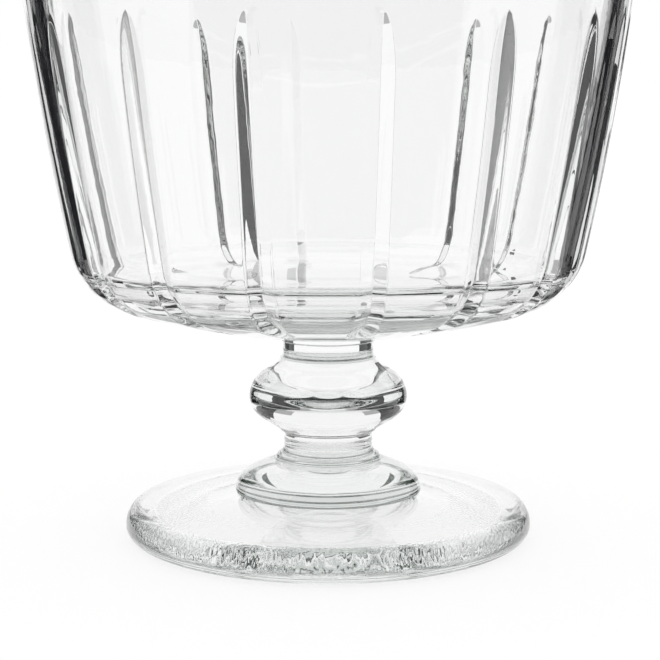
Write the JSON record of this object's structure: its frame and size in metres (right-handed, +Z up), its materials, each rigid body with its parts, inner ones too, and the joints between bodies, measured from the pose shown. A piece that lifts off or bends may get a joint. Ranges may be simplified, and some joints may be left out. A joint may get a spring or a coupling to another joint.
{
  "type": "parfait glass",
  "caption": "Footed dessert glass: thick-floored bowl with sixteen upright grooves, on a short stem with a round knop and a wide flat foot.",
  "frame": {"origin": "centre of the ring under the foot that the glass rests on", "axes": "+Z up along the axis of the glass, -Y towards the side that the picture shows"},
  "size_m": [0.0984, 0.0984, 0.102],
  "materials": {
    "clear_glass": "clear, fire-polished pressed glass",
    "foot_glass": "clear pressed glass with a stippled ring under the edge"
  },
  "bodies": {
    "root": {"foot": "foot_glass", "foot_pad": "clear_glass", "lower_neck": "clear_glass", "knop": "clear_glass", "upper_neck": "clear_glass", "bowl": "clear_glass"}
  },
  "joints": []
}
